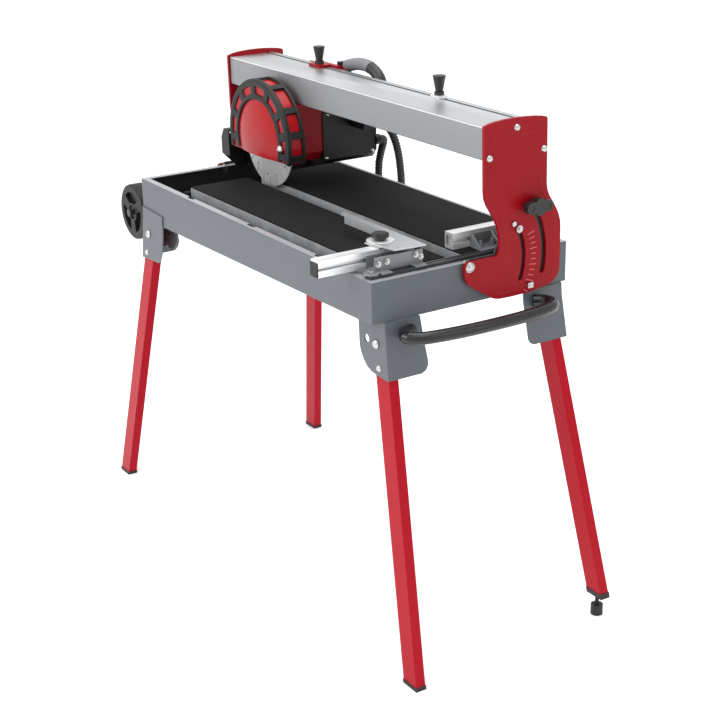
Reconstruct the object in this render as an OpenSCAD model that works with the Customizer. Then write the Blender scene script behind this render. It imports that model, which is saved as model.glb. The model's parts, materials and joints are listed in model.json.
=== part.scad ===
// Bridge wet tile saw: a water tray on four folding legs, a tilting aluminium
// bridge with a sliding saw head, sliding stops, transport wheels and a carry handle.
// X runs along the bridge (far end to operator end), Y across the tray, Z up. Millimetres.

/* [Tray] */
// Outside length of the steel tray frame
tray_length = 920; // [800:5:1100]
// Outside width of the steel tray frame
tray_width = 426; // [380:2:520]
// Height of the frame wall at the operator end
wall_near = 76; // [60:1:100]
// Height of the frame wall at the far end
wall_far = 90; // [70:1:120]
// Height of the tray rim above the ground
rim_height = 741; // [650:1:820]
// Sheet thickness of the frame
sheet = 2; // [1.5:0.5:3]
// Width of the rim's folded flange
flange = 14; // [10:1:20]

/* [Tables] */
// Height of the rubber surface above the rim
table_top = 6; // [2:1:12]
// Thickness of the rubber mats
mat_thick = 3; // [2:0.5:5]
// Where the table plates start, from the far end
table_start = 155; // [120:5:220]
// Where the table plates end
table_end = 888; // [840:2:900]
// Outer edge of the near table plate
table_edge = 42; // [30:1:60]
// Near edge of the blade slot
slot_near = 178; // [170:1:190]
// Far edge of the blade slot
slot_far = 212; // [206:1:220]

/* [Bridge] */
// Front face of the bridge beam, across the tray
beam_front = 234; // [225:1:245]
// Width of the beam
beam_width = 110; // [90:1:130]
// Underside of the beam above the rim
beam_bottom = 177.5; // [160:0.5:200]
// Height of the beam section
beam_height = 58.5; // [45:0.5:70]
// Wall thickness of the beam extrusion
beam_wall = 3; // [2:0.5:5]
// Thickness of the red end plates
plate_thick = 6; // [4:0.5:10]
// Height of the tilt axis relative to the rim
tilt_z = -7; // [-15:1:5]
// Radius of the outer clamp slot
clamp_radius = 164; // [150:1:175]
// Radius of the inner guide slot
guide_radius = 118; // [105:1:130]

/* [Saw head] */
// Blade plane, across the tray
blade_y = 201; // [195:1:207]
// Blade centre along the tray
blade_x = 217; // [205:1:240]
// Blade centre above the rim
blade_z = 98; // [96:0.5:102]
// Blade diameter
blade_d = 200; // [180:5:230]
// Blade thickness
blade_t = 2.2; // [1.6:0.1:3]
// Radius of the guard's outside
guard_r = 122; // [115:1:128]

/* [Fences] */
// Side of the stop extrusions that faces the tile
fence_x = 836; // [820:1:850]
// Depth of the extrusion section
fence_d = 24; // [20:1:30]
// Height of the extrusion section
fence_h = 30; // [25:1:35]

/* [Stand] */
// Leg tube size along the tray
leg_w = 40; // [35:1:45]
// Leg tube size across the tray
leg_t = 20; // [18:1:25]
// Outward lean of the operator-end legs
lean_near = 12; // [8:0.5:15]
// Outward lean of the far-end legs
lean_far = 14; // [8:0.5:16]
// Radius of the transport wheels
wheel_r = 62; // [55:1:70]
// Width of the transport wheels
wheel_w = 36; // [28:1:42]

/* [Hidden] */
$fn = 48;
L = tray_length; W = tray_width; T = sheet;
X0 = 448; Y0 = 207.4;              // centre of the footprint
RED = [0.72,0.05,0.08]; GREY = [0.42,0.45,0.48]; ALU = [0.78,0.79,0.80];
BLK = [0.07,0.07,0.07]; STEEL = [0.66,0.67,0.68]; RUB = [0.05,0.05,0.055];
function zb(x) = -wall_far + (wall_far-wall_near)*x/L;   // underside of the tray
function arc(cx,cy,r,a0,a1,n) = [for(i=[0:n]) let(a=a0+(a1-a0)*i/n) [cx+r*cos(a), cy+r*sin(a)]];
module at() { translate([-X0,-Y0,rim_height]) children(); }
module xz(p,y0,y1) { translate([0,y1,0]) rotate([90,0,0]) linear_extrude(y1-y0) polygon(p); }
module yz(p,x0,x1) { translate([x0,0,0]) rotate([90,0,90]) linear_extrude(x1-x0) polygon(p); }
module box(a,b) { translate(a) cube([b[0]-a[0],b[1]-a[1],b[2]-a[2]]); }
module cx(x0,x1,y,z,r,f=48) { translate([x0,y,z]) rotate([0,90,0]) cylinder(h=x1-x0,r=r,$fn=f); }
module cy(y0,y1,x,z,r,f=48) { translate([x,y0,z]) rotate([-90,0,0]) cylinder(h=y1-y0,r=r,$fn=f); }
module cz(z0,z1,x,y,r,f=48) { translate([x,y,z0]) cylinder(h=z1-z0,r=r,$fn=f); }
module mir() { translate([0,W,0]) mirror([0,1,0]) children(); }
module dome(r,h) { // low domed head standing on z=0
  R=(r*r+h*h)/(2*h);
  intersection() { translate([0,0,h-R]) sphere(r=R); translate([0,0,0]) cylinder(h=h+1,r=r*1.2); }
}
module hexh(r,h) { cylinder(h=h,r=r,$fn=6); }
// tube swept along a flat path: pts 3D, N plane normal
function unit(v) = v/norm(v);
function tang(p,i) = unit(p[min(i+1,len(p)-1)]-p[max(i-1,0)]);
module sweep(p,N,r,n=16) {
  m=len(p);
  v=[for(i=[0:m-1]) let(t=tang(p,i), B=cross(N,t)) for(j=[0:n-1]) let(a=360*j/n) p[i]+r*(cos(a)*N+sin(a)*B)];
  f=concat([[for(j=[0:n-1]) j]],[[for(j=[0:n-1]) (m-1)*n+n-1-j]],
    [for(i=[0:m-2]) for(j=[0:n-1]) [i*n+j,(i+1)*n+j,(i+1)*n+(j+1)%n,i*n+(j+1)%n]]);
  polyhedron(points=v,faces=f,convexity=6);
}
function bez(a,b,c,d,n) = [for(i=[0:n]) let(t=i/n,u=1-t) u*u*u*a+3*u*u*t*b+3*u*t*t*c+t*t*t*d];

/* ---- tray ---- */
module tub_frame() color(GREY) at() difference() {
  xz([[0,0],[L,0],[L,-wall_near],[0,-wall_far]],0,W);
  xz([[T,-T],[L-T,-T],[L-T,zb(L)+T],[T,zb(0)+T]],T,W-T);
  box([flange,flange,-T-1],[L-flange,W-flange,1]);
  box([20,20,-150],[L-20,W-20,-40]);
  for(x=[219,477,731]) box([x-13,flange-7,-T-1],[x+13,flange+1,1]);
  for(x=[186,459,731]) box([x-13,W-flange-1,-T-1],[x+13,W-flange+7,1]);
  for(x=[T,L-T-6.5]) cx(x,x+6.5,blade_y,tilt_z,10.2);
  for(x=[-1,L-T-1]) { cx(x,x+T+2,blade_y,tilt_z,6.02); cx(x,x+T+2,gp[0],gp[1],5.02); cx(x,x+T+2,sp[0],sp[1],4.02); }
}
module water_tray() color(BLK) at() difference() {
  xz([[4,-T-1],[L-4,-T-1],[L-4,zb(L)+T+0.5],[4,zb(0)+T+0.5]],4,W-4);
  xz([[6.5,0],[L-6.5,0],[L-6.5,zb(L)+T+3.5],[6.5,zb(0)+T+3.5]],6.5,W-6.5);
  cz(-100,-70,70,330,11.02);
  for(x=[3,L-9]) { cx(x,x+6,blade_y,tilt_z,10); cx(x,x+6,gp[0],gp[1],9); cx(x,x+6,sp[0],sp[1],8); }
}
module drain_plug() color(BLK) at() {
  cz(zb(70)-3,zb(70)+8,70,330,11); cz(zb(70)-13,zb(70)-3,70,330,17,8);
}
module table(y0,y1,x1) {
  z=table_top-mat_thick;
  difference() {
    box([table_start,y0,z-22],[x1,y1,z]);
    box([table_start+2,y0+2,z-30],[x1-2,y1-2,z-2.5]);
    box([table_start+30,y0+2,z-30],[x1-30,y1-2,z-2.5]);
  }
  for(x=[table_start+60,(table_start+x1)/2,x1-40]) for(y=[y0+8,y1-14]) box([x,y,zb(x+20)+T+3.52],[x+20,y+6,z-2.4]);
}
module table_near() color(STEEL) at() table(table_edge,slot_near,table_end);
module table_far() color(STEEL) at() table(slot_far,W-18,table_end);
module mats() color(RUB) at() { box([table_start+1.5,table_edge+2,table_top-mat_thick],[table_end-2,slot_near-1,table_top]);
  box([table_start+1.5,slot_far+2,table_top-mat_thick],[table_end-2,W-20,table_top]); }
module pump() color(BLK) at() {
  z=zb(70)+T+4;
  box([34,60,z],[84,118,z+38]); cz(z+38,z+52,58,80,8); cx(84,96,90,z+14,7);
  for(y=[66,78,100,112]) box([84,y-2,z+3],[86,y+2,z+26]);
}

/* ---- tilt stations: slot geometry shared by plate, quadrant and bolts ---- */
gp = [blade_y+clamp_radius*cos(34.5), tilt_z+clamp_radius*sin(34.5)];   // clamp knob axis
sp = [blade_y+guide_radius*cos(26.8), tilt_z+guide_radius*sin(26.8)];   // guide bolt
OUT = concat([[229,239],[242,243],[256,245],[277,246.4],[299,246.6],[320,246],[340,244.4],[356,242.4],[366,240],[368,236]],
  [[368.5,180],[369,120]],[[371,108],[376,96],[384,84],[392,71],[398,59],[402,45],[403,30]],
  [[403,-38],[401.5,-50],[396,-60],[388,-67],[376,-72]],[[350,-75.5],[321,-77.8],[292,-78.4],[264,-77.4],[252,-74.5],[240,-67]],
  [[204,-44],[195,-36],[190,-26],[188,-14],[188.6,-5],[191,0.5],[196,3]],[[256,3],[262,5],[264.6,10]],
  [[265,33],[263.5,45],[259,59],[253,72],[245,85],[237,98],[232,110],[230,126]]);
module slot(r,a0,a1,w,x0,x1) yz(concat(
    [for(i=[0:24]) let(a=a0+(a1-a0)*i/24) [blade_y+(r+w)*cos(a), tilt_z+(r+w)*sin(a)]],
    [for(i=[1:7]) let(a=a1-180*i/8) [blade_y+r*cos(a1)+w*cos(a), tilt_z+r*sin(a1)+w*sin(a)]],
    [for(i=[0:24]) let(a=a1+(a0-a1)*i/24) [blade_y+(r-w)*cos(a), tilt_z+(r-w)*sin(a)]],
    [for(i=[1:7]) let(a=a0+180-180*i/8) [blade_y+r*cos(a0)+w*cos(a), tilt_z+r*sin(a0)+w*sin(a)]]),x0,x1);
module quad(x0,x1) difference() {
  yz([[206,6],[258,6],[272,40],[296,84],[320,104],[352,108],[364,96],[372,70],[388,50],[392,-30],[384,-56],[360,-66],[250,-66],[212,-42],[196,-30],[192,-14],[196,0]],x0,x1);
  cx(x0-1,x1+1,blade_y,tilt_z,6.02); cx(x0-1,x1+1,gp[0],gp[1],5.06); cx(x0-1,x1+1,sp[0],sp[1],4.02);
}
module quadrants() color(BLK) at() { quad(L,L+4); quad(-4,0); }
module endplate(x0) {
  x1=x0+plate_thick;
  difference() {
    yz(OUT,x0,x1);
    cx(x0-1,x1+1,blade_y,tilt_z,6.06);
    slot(clamp_radius,34.5,-12,5.6,x0-1,x1+1);
    slot(guide_radius,26.8,-20,4.6,x0-1,x1+1);
  }
}
module end_plates() color(RED) at() { endplate(L+4.5); endplate(-4.5-plate_thick); }
module plate_bolts() color(STEEL) at() {
  for(b=[[301,229],[242,182],[362,183]]) {
    translate([L+4.5+plate_thick,b[0],b[1]]) rotate([0,90,0]) dome(6.5,4.5);
    translate([-4.5-plate_thick,b[0],b[1]]) rotate([0,-90,0]) dome(6.5,4.5);
  }
  translate([L+4.5+plate_thick,295,57]) rotate([0,90,0]) hexh(5,3.5);
  for(s=[0,1]) { x = s==0 ? L+4.5+plate_thick : -4.5-plate_thick-6;
    box([x,326,-68],[x+6,338,-58]); cx(x-s,x+7-s,332,-63,3); }
}
module tilt_bolts() { tilt_pivots(); guide_bolts(); clamp_studs(); }
module clamp_studs() color(STEEL) at() { cx(L-T-8,L+plate_thick+16,gp[0],gp[1],5); cx(-16-plate_thick,T+8,gp[0],gp[1],5); cx(L-T-6,L-T,gp[0],gp[1],8.5,6); cx(T,T+6,gp[0],gp[1],8.5,6); }
module tilt_pivots() color(STEEL) at() {
  x1=L+4.5+plate_thick+0.4;
  cx(L-T-1,x1,blade_y,tilt_z,6); translate([x1,blade_y,tilt_z]) rotate([0,90,0]) dome(10,5);
  cx(-4.9-plate_thick,T+1,blade_y,tilt_z,6); translate([-4.9-plate_thick,blade_y,tilt_z]) rotate([0,-90,0]) dome(10,5);
  cx(L-T-6,L-T,blade_y,tilt_z,9.5,6); cx(T,T+6,blade_y,tilt_z,9.5,6);
}
module guide_bolts() color(STEEL) at() {
  x1=L+4.5+plate_thick+0.4;
  cx(L-T-1,x1,sp[0],sp[1],4); cx(x1,x1+4,sp[0],sp[1],7.5,6); cx(x1+4,x1+7,sp[0],sp[1],3.2);
  cx(-4.9-plate_thick,T+1,sp[0],sp[1],4); cx(-8.9-plate_thick,-4.9-plate_thick,sp[0],sp[1],7.5,6);
  cx(L-T-5,L-T,sp[0],sp[1],7,6); cx(T,T+5,sp[0],sp[1],7,6);
}
module clampknob() { // local: axis +X, plate face at x=0
  difference() { union() {
    cx(0.5,7,0,0,10); cx(7,13,0,0,14);
    rotate([0,0,0]) yz(concat(arc(18,0,11,-62,62,10),[[8,11]],arc(0,3,13,60,120,4),[[-8,11]],arc(-18,0,11,118,242,10),[[-8,-11]],arc(0,-3,13,240,300,4),[[8,-11]]),11,25);
  } cx(-1,12,0,0,5.06); for(y=[-1,1]) translate([25,y*19,0]) rotate([0,90,0]) cylinder(h=1.5,r=6,center=true); }
}
module tilt_knob_near() color(BLK) at() { translate([L+4.5+plate_thick,gp[0],gp[1]]) clampknob(); }
module tilt_knob_far() color(BLK) at() { translate([-4.5-plate_thick,gp[0],gp[1]]) mirror([1,0,0]) clampknob(); }

/* ---- beam ---- */
module beam() color(ALU) at() {
  y0=beam_front; y1=y0+beam_width; z0=beam_bottom; z1=z0+beam_height; w=beam_wall;
  difference() {
    yz([[y0+1.5,z0],[y1-1.5,z0],[y1,z0+1.5],[y1,z1-1.5],[y1-1.5,z1],[y0+1.5,z1],[y0,z1-1.5],[y0,z0+1.5]],-4.5,L+4.5);
    yz([[y0+w,z0+w],[y0+w,z1-w],[y1-34,z1-w],[y1-34,z0+w]],-5,L+5);
    yz([[y1-30,z0+w],[y1-30,z1-14],[y1-w,z1-14],[y1-w,z0+w]],-5,L+5);
    yz([[y1-26,z1-11],[y1-8,z1-11],[y1-8,z1-4],[y1-13,z1-4],[y1-13,z1+1],[y1-21,z1+1],[y1-21,z1-4],[y1-26,z1-4]],-5,L+5);
    yz([[y1-5,z1-1],[y1-5,z1+1],[y1-3.4,z1+1],[y1-3.4,z1-1]],-5,L+5);
    yz([[y0+3,z1-0.8],[y0+3,z1+1],[y0+4.4,z1+1],[y0+4.4,z1-0.8]],-5,L+5);
  }
}
module starknob(r0,r1,h,x,y,z) { // fluted cone on a collar
  cz(z,z+6,x,y,9.5);
  difference() {
    translate([x,y,z+6]) cylinder(h=h,r1=r0,r2=r1);
    for(i=[0:11]) translate([x+(r1+2.1)*cos(30*i),y+(r1+2.1)*sin(30*i),z+4]) cylinder(h=h+4,r=3.1);
  }
  cz(z+6,z+6+h-1,x,y,r0);
}
stop_x=659; stop_y=327;
module travel_stop() color(STEEL) at() {
  z1=beam_bottom+beam_height;
  difference() { union() { box([stop_x-14,stop_y-11,z1+0.4],[stop_x+14,stop_y+11,z1+6]);
    box([stop_x-12,stop_y-3.4,z1-3.5],[stop_x+12,stop_y+3.4,z1+1]);
    box([stop_x-12,stop_y-8.4,z1-10.4],[stop_x+12,stop_y+8.4,z1-4.6]); }
    cz(z1-12,z1-11,stop_x,stop_y,3.06); } cz(z1-10.4,z1+18,stop_x,stop_y,3);
}
module stop_knob() color(BLK) at() { z=beam_bottom+beam_height+6.4; difference() { starknob(7,12.5,30,stop_x,stop_y,z); cz(z-1,z+12.5,stop_x,stop_y,3.06); } }

/* ---- carriage and head (move along the beam) ---- */
zc = beam_bottom-0.6; yb = beam_front+beam_width+0.6; zt = beam_bottom+beam_height+0.5;
module carriage() color(RED) at() difference() { union() {
    box([140,216,zc-8.5],[300,yb+5,zc]);
    box([150,yb,zc-8.5],[296,yb+5,zt]);
    box([200,yb-31,zt],[244,yb+5,zt+5]);
    box([244,yb-5,zt],[276,yb+5,zt+5]);
  }
  cz(zt-1,zt+7,222,327,4.06); }
module glide_pads() color(ALU) at() { for(x=[158,268]) { box([x,beam_front+8,zc],[x+20,beam_front+40,zc+0.2]); box([x,yb-0.2,beam_bottom+8],[x+20,yb,beam_bottom+40]); } }
module lock_knob() color(BLK) at() { z=zt+5.4; starknob(7,12.5,30,222,327,z); cz(z-5.3,z+10,222,327,4); }
module head_mount() color(RED) at() difference() {
  xz([[152,zc-8.5],[297,zc-8.5],[297,74],[283,56],[170,56],[152,74]],214.02,284);
  cy(213,285,blade_x,blade_z,26);
  xz([[160,150],[188,150],[180,80],[160,80]],224,290);
  xz([[290,150],[252,150],[262,70],[278,70],[290,84]],224,290);
}
module motor_housing() color(BLK) at() { motor_case(); cy(418,430,288,78,11);
  difference() { cy(399,410,blade_x,blade_z,26); cy(398,408.02,blade_x,blade_z,20.01); } }
module motor_case() difference() {
  union() {
    xz([[156,zc-8.6],[299,zc-8.6],[300,zc-10],[300,54],[290,44],[166,44],[156,54]],284.2,412);
    xz([[164,160],[292,160],[292,58],[284,50],[172,50],[164,58]],412,421);
  }
  xz([[160,161],[296,161],[296,56],[288,48],[168,48],[160,56]],288,408);
  cy(280,289,blade_x,blade_z,20.05);
  for(i=[0:5]) box([176+i*14,412.5,70],[183+i*14,425,142]);
}
module motor_stator() color(STEEL) at() difference() { cy(300,380,blade_x,blade_z,50.01); cy(299,381,blade_x,blade_z,27); }
module motor_bearings() color(STEEL) at() for(y=[[284.5,288],[400,408]]) difference() { cy(y[0],y[1],blade_x,blade_z,20); cy(y[0]-1,y[1]+1,blade_x,blade_z,10.05); }
module motor_rotor() color(STEEL) at() { cy(304,376,blade_x,blade_z,26); cy(184,404,blade_x,blade_z,10); }
module motor_fan() color(BLK) at() difference() { union() { cy(384,387,blade_x,blade_z,40); for(i=[0:7]) translate([blade_x,0,blade_z]) rotate([0,45*i,0]) box([14,387,-1.5],[40,397,1.5]); cy(384,397,blade_x,blade_z,15);} cy(383,399,blade_x,blade_z,10.01); }
module blade() color(STEEL) at() difference() {
  cy(blade_y-blade_t/2,blade_y+blade_t/2,blade_x,blade_z,blade_d/2);
  cy(blade_y-3,blade_y+3,blade_x,blade_z,10.01);
  for(i=[0:19]) translate([blade_x,blade_y,blade_z]) rotate([0,18*i,0]) { translate([blade_d/2-9,0,0]) cube([20,6,1.6],center=true); }
  for(i=[0:11]) translate([blade_x,blade_y-3,blade_z]) rotate([0,30*i+9,0]) translate([blade_d/2-21,0,0]) rotate([-90,0,0]) cylinder(h=6,r=2.6);
}
module blade_flanges() color(STEEL) at() difference() { union() { cy(blade_y+blade_t/2,blade_y+blade_t/2+6,blade_x,blade_z,27); cy(blade_y-blade_t/2-5,blade_y-blade_t/2,blade_x,blade_z,27);} cy(blade_y-15,blade_y+15,blade_x,blade_z,10.01); }
module blade_clamp() { blade_flanges(); arbor_nut(); }
module arbor_nut() color(STEEL) at() difference() { cy(blade_y-blade_t/2-14,blade_y-blade_t/2-5.01,blade_x,blade_z,17,6); cy(180,200,blade_x,blade_z,10.01); }
// guard: drum closed at the front and back, open below z=66
module drum(r,y0,y1,zc0) intersection() { cy(y0,y1,blade_x,blade_z,r); box([0,y0-1,zc0],[400,y1+1,300]); }
module guard() { guard_shell(); guard_cover(); }
module guard_shell() color(RED) at() difference() {
  union() { drum(guard_r,177,214,66); box([300,177,72],[337,214,98]); }
  cy(179.5,211.5,blade_x,blade_z,112);
  box([blade_x-112,179.5,60],[blade_x+112,211.5,blade_z]);
  cy(205,220,blade_x,blade_z,31);
}
module guard_cover() color(RED) at() {
  intersection() { translate([blade_x,blade_y,blade_z]) rotate([90,0,0]) rotate_extrude() polygon([[0,24],[0,33],[40,32.2],[62,29.5],[78,26.5],[87,24]]); box([0,100,66.5],[400,178,300]); }
}
module guard_bumper() color(RUB) at() {
  difference() { union() {
      intersection() { difference() { cy(174,216.5,blade_x,blade_z,guard_r+6); cy(173,218,blade_x,blade_z,guard_r+0.02); }
        union() for(a=[4,30,56,82,108,134,160]) translate([blade_x,195,blade_z]) rotate([0,-a,0]) translate([110,0,0]) cube([60,60,17],center=true); }
      intersection() { union() { difference() { cy(174,176.98,blade_x,blade_z,guard_r+4); cy(173,178,blade_x,blade_z,guard_r-13); }
         difference() { cy(214.02,216.5,blade_x,blade_z,guard_r+4); cy(213,218,blade_x,blade_z,guard_r-8); } } box([0,170,67],[400,220,300]); }
    }
    box([0,160,-100],[400,230,67]); }
}
module head_screws() color(STEEL) at() { for(p=[[297,149],[291,58],[406,58],[406,149]]) translate([300,p[0],p[1]]) rotate([0,90,0]) dome(4.5,3);
  cy(171,177,314,96,9); translate([314,171,96]) rotate([90,0,0]) dome(9,5); cy(214,217,314,96,6); }
module splash_shield() color(BLK) at() {
  difference() { xz([[54,8],[54,78],[66,98],[88.4,98],[88.4,8]],172,234); box([57,175,-1],[90,231,94]);
    yz([[170,7],[207,7],[170,44]],50,92); } // corner cut so that the shield clears the tables at full tilt
  box([84,222,74],[152,230,96]);
}
module d_handle() color(GREY) at() {
  y=yb+18;
  sweep(concat(bez([274.5,y,241],[290,y,242],[305,y,250],[332,y,251],8),[for(q=[1:6]) bez([332,y,251],[352,y,252],[368,y,250],[384,y,242],6)[q]],
    [for(q=[1:8]) bez([384,y,242],[400,y,234],[406,y,222],[406,y,207.5],8)[q]]),[0,1,0],12.8,20);
}
module handle_base() color(BLK) at() { box([256,yb+5,170],[420,yb+30,205]); box([256,yb+5,180],[272,yb+30,248]); }
module switch_box() color(BLK) at() difference() { box([300.2,352,118],[352,400,174]); box([345,366,132],[353,386,160]); }
module switch_housing() { handle_base(); switch_box(); }
module switch_rocker() color(RED) at() yz(concat([[366.5,133],[385.5,133]],[[385.5,159],[366.5,159]]),349.4,350.8);
LOOP = concat(bez([288,431.6,78],[288,451,78],[268,451,64],[262,446,20],8),bez([262,446,20],[254,446,-60],[268,446,-118],[306,446,-118],9),bez([306,446,-118],[342,446,-118],[352,446,-60],[348,446,0],9),bez([348,446,0],[342,446,70],[330,440,110],[326,405,130],10));
module cable_loop() color(BLK) at() { p=LOOP; n=12; m=len(p); r=8;
  v=[for(i=[0:m-1]) let(t=tang(p,i),B=unit(cross([0.05,1,0.02],t)),A=cross(t,B)) for(j=[0:n-1]) let(a=360*j/n) p[i]+r*(cos(a)*A+sin(a)*B)];
  f=concat([[for(j=[0:n-1]) j]],[[for(j=[0:n-1]) (m-1)*n+n-1-j]],[for(i=[0:m-2]) for(j=[0:n-1]) [i*n+j,(i+1)*n+j,(i+1)*n+(j+1)%n,i*n+(j+1)%n]]);
  polyhedron(points=v,faces=f,convexity=6); }

/* ---- fences ---- */
module tslot(y0,y1) { x0=fence_x; x1=x0+fence_d; z0=table_top+0.4; z1=z0+fence_h;
  difference() {
    box([x0,y0,z0],[x1,y1,z1]);
    xz([[x1-9,z0+6],[x1-5,z0+6],[x1-5,z0+11],[x1+1,z0+11],[x1+1,z0+19],[x1-5,z0+19],[x1-5,z0+24],[x1-9,z0+24]],y0-1,y1+1);
    xz([[x0+3,z0+3],[x1-12,z0+3],[x1-12,z0+24],[x0+3,z0+24]],y0-1,y1+1);
    xz([[x0+2,z1+1],[x0+2,z1-0.8],[x0+4,z1-0.8],[x0+4,z1+1]],y0-1,y1+1);
  }
}
module fence_left() color(ALU) at() tslot(-68,130);
module fence_caps() color(BLK) at() { for(y=[[-70.5,-68],[130,132.5]]) box([fence_x+0.5,y[0],table_top+0.9],[fence_x+fence_d-0.5,y[1],table_top+fence_h-4]); }
module fence_right() color(ALU) at() tslot(slot_far+1,398);
module carrier(y0,y1,z0) { x1=fence_x+fence_d; // sheet bracket behind an extrusion
  difference() { union() { box([x1+0.02,y0,z0],[889,y1,z0+2]); box([886,y0,z0],[889,y1,z0+25]); box([x1+0.02,y0,z0+10],[x1+2.5,y1,z0+23]); box([x1+0.02,y0,z0+2],[x1+2.5,y1,z0+10]); } }
}
module fence_carrier() color(GREY) at() { z=table_top+0.4; carrier(28,128,z); box([889,30,z],[908,52,z+2]); box([889,100,z],[908,124,z+2]); cz(z,z+2,893,18,14); box([870,18,z],[889,29,z+2]); }
module carrier_screws() color(STEEL) at() { for(p=[[34,20],[52,22],[112,24],[122,19]]) translate([889,p[0],p[1]]) rotate([0,90,0]) { cylinder(h=2.5,r=6,$fn=6); cylinder(h=6.5,r=3); } cz(table_top+2.4,table_top+6.4,893,18,6,6); }
module fence_right_bracket() color(GREY) at() { z=table_top-1.98; box([860.02,250,z+2],[900,300,z+4.6]); difference() { xz([[860.02,z+2],[889,z+2],[889,z+6],[864,z+26],[860.02,z+26]],252,298); xz([[864,z+5],[889,z+5],[889,z+30],[864,z+30]],255,295);} for(y=[262,288]) translate([878,y,z+4.6]) { cylinder(h=6,r=6,$fn=6); cylinder(h=11,r=3); } }
module fence_rail() color(BLK) at() difference() { box([889.6,8,0],[906,W-8,table_top]); box([895,7,2],[899,W-7,table_top+1]); }
px0=830; py0=78; pz=table_top+0.4+fence_h;
module fence_fittings() { stop_base(); carrier_screws(); }
module stop_base() color(STEEL) at() { box([816,54,pz+0.02],[862,106,pz+2]); cz(pz+0.02,pz+16,px0,py0,4); }
module angle_stop() color(ALU) at() { z=pz+2.4;
  difference() { union() {
      linear_extrude_at(z,2.6,[[632,129],[628,124],[640,114.5],[790,114.5],[806,101],[820,60],[842,56],[893,66],[898,129]]);
      cz(z,z+2.6,px0,py0,25);
      box([652,114.5,z-13],[782,116.5,z+0.1]);
    }
    cz(z-3,z+6,px0,py0,4.06); }
}
module linear_extrude_at(z,h,p) translate([0,0,z]) linear_extrude(h) polygon(p);
module gauge_knob() color(BLK) at() { z=pz+5.4; difference() { union() { cz(z,z+5,px0,py0,9); translate([px0,py0,z+5]) cylinder(h=9,r1=14,r2=12); for(i=[0:5]) cz(z+5,z+13,px0+11*cos(60*i),py0+11*sin(60*i),4.5); } cz(z-1,z+11.5,px0,py0,4.06); } }

/* ---- stand ---- */
//          pivot x, z, lean, centre y, side lean
NEAR=[894,-123,-lean_near,40.8,3]; FAR=[22,-121,lean_far,15.2,4.2];
// the motor-side pair, measured in from the other long wall
NEARR=[894,-123,-lean_near,29.5,5.2]; FARR=[22,-121,lean_far-1.8,6,5];
module legpos(s) translate([s[0],s[3],s[1]]) rotate([-s[4],0,0]) rotate([0,s[2],0]) children();
module legtube(s,zcut) difference() {
  legpos(s) difference() {
    union() { translate([-leg_w/2,-leg_t/2,-700]) cube([leg_w,leg_t,700]); translate([0,-leg_t/2,0]) rotate([-90,0,0]) cylinder(h=leg_t,r=leg_w/2); }
    translate([-leg_w/2+1.6,-leg_t/2+1.6,-701]) cube([leg_w-3.2,leg_t-3.2,690]);
    rotate([90,0,0]) cylinder(h=60,r=5.06,center=true);
  }
  translate([-500,-300,-rim_height-200]) cube([2200,1100,200+rim_height+zcut]);
}
FZ=-rim_height;
module leg_near_left() color(RED) at() legtube(NEAR,FZ+4);
module leg_near_right() color(RED) at() mir() legtube(NEARR,FZ+50);
module leg_far_left() color(RED) at() legtube(FAR,FZ+4);
module leg_far_right() color(RED) at() mir() legtube(FARR,FZ+4);
module footcap(s) difference() {
  intersection() { legpos(s) translate([-leg_w/2-1,-leg_t/2-1,-700]) cube([leg_w+2,leg_t+2,700]); translate([-500,-300,FZ]) cube([2200,1100,7]); }
  difference() { legpos(s) translate([-leg_w/2-0.02,-leg_t/2-0.02,-701]) cube([leg_w+0.04,leg_t+0.04,760]); translate([-500,-300,FZ-300]) cube([2200,1100,300+3.9]); }
}
module foot_near_left() color(BLK) at() footcap(NEAR);
module foot_far_left() color(BLK) at() footcap(FAR);
module foot_far_right() color(BLK) at() mir() footcap(FARR);
// centre of the near-right leg's end
fx=NEARR[0]+tan(lean_near)*(rim_height-50+NEARR[1]); fy=W-(NEARR[3]-tan(NEARR[4])*(rim_height-50+NEARR[1]));
module foot_near_right() color(BLK) at() difference() {
  intersection() { mir() legpos(NEARR) translate([-leg_w/2-1,-leg_t/2-1,-700]) cube([leg_w+2,leg_t+2,700]); translate([-500,-300,FZ+42]) cube([2200,1100,11]); }
  difference() { mir() legpos(NEARR) translate([-leg_w/2-0.02,-leg_t/2-0.02,-701]) cube([leg_w+0.04,leg_t+0.04,760]); translate([-500,-300,FZ-300]) cube([2200,1100,300+49.9]); }
  cz(FZ+30,FZ+90,fx,fy,4.06);
}
module levelling_foot() color(BLK) at() { cz(FZ,FZ+21,fx,fy,12); cz(FZ+21,FZ+72,fx,fy,4); }
module cheekhole(s) legpos(s) rotate([90,0,0]) cylinder(h=80,r=5.02,center=true);
module leg_bracket_near(P=NEAR,a=24,b=52.6,fr=[[24,-70],[97,-70],[103,-120],[109.5,-160],[109,-170],[104,-178],[95,-182],[24,-182]]) difference() {
  union() {
    xz([[837,zb(837)-0.02],[840,-140],[844,-151],[852,-163],[863,-173],[878,-179],[897,-181],[931.5,-182],[923,-77],[920,zb(920)-0.02]],a,a+2.5);
    xz([[860,zb(860)-0.02],[862,-130],[872,-150],[890,-160],[905,-160],[917,-150],[917,zb(917)-0.02]],b,b+2.4);
    intersection() { xz([[920.5,-77],[923,-77],[931.5,-182],[929,-182]],0,112); yz(fr,900,940); }
    xz([[837,zb(837)-0.02],[920,zb(920)-0.02],[923,-77],[923,-79.5],[837,zb(837)-2.5]],a,97);
  }
  cheekhole(P);
  cy(a-4,a+6,864,-120,7.5);
  cy(a-4,a+6,904-3,-166,4.02);
}
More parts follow.
